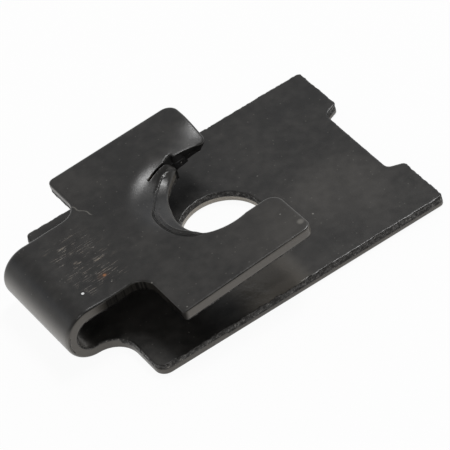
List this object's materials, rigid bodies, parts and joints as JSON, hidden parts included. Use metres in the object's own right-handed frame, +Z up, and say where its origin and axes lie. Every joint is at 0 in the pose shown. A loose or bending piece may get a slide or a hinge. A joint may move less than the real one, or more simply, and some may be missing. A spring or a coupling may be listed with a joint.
{
  "type": "u clip speed nut",
  "caption": "Folded spring-steel clip nut that slips over a panel edge; its long leaf has a clearance hole and its short leaf a pressed thread lip that takes a coarse screw.",
  "frame": {"origin": "underside of the long leaf, on its middle line, where it reaches full width beside the fold", "axes": "+X from the fold to the free ends, +Y to the left seen from above looking along +X, +Z up from the long leaf to the short leaf"},
  "size_m": [0.0253, 0.016, 0.0047],
  "materials": {
    "black_steel": "semi-matte black phosphate and oil on spring steel"
  },
  "bodies": {
    "root": {"u_clip": "black_steel"}
  },
  "joints": []
}
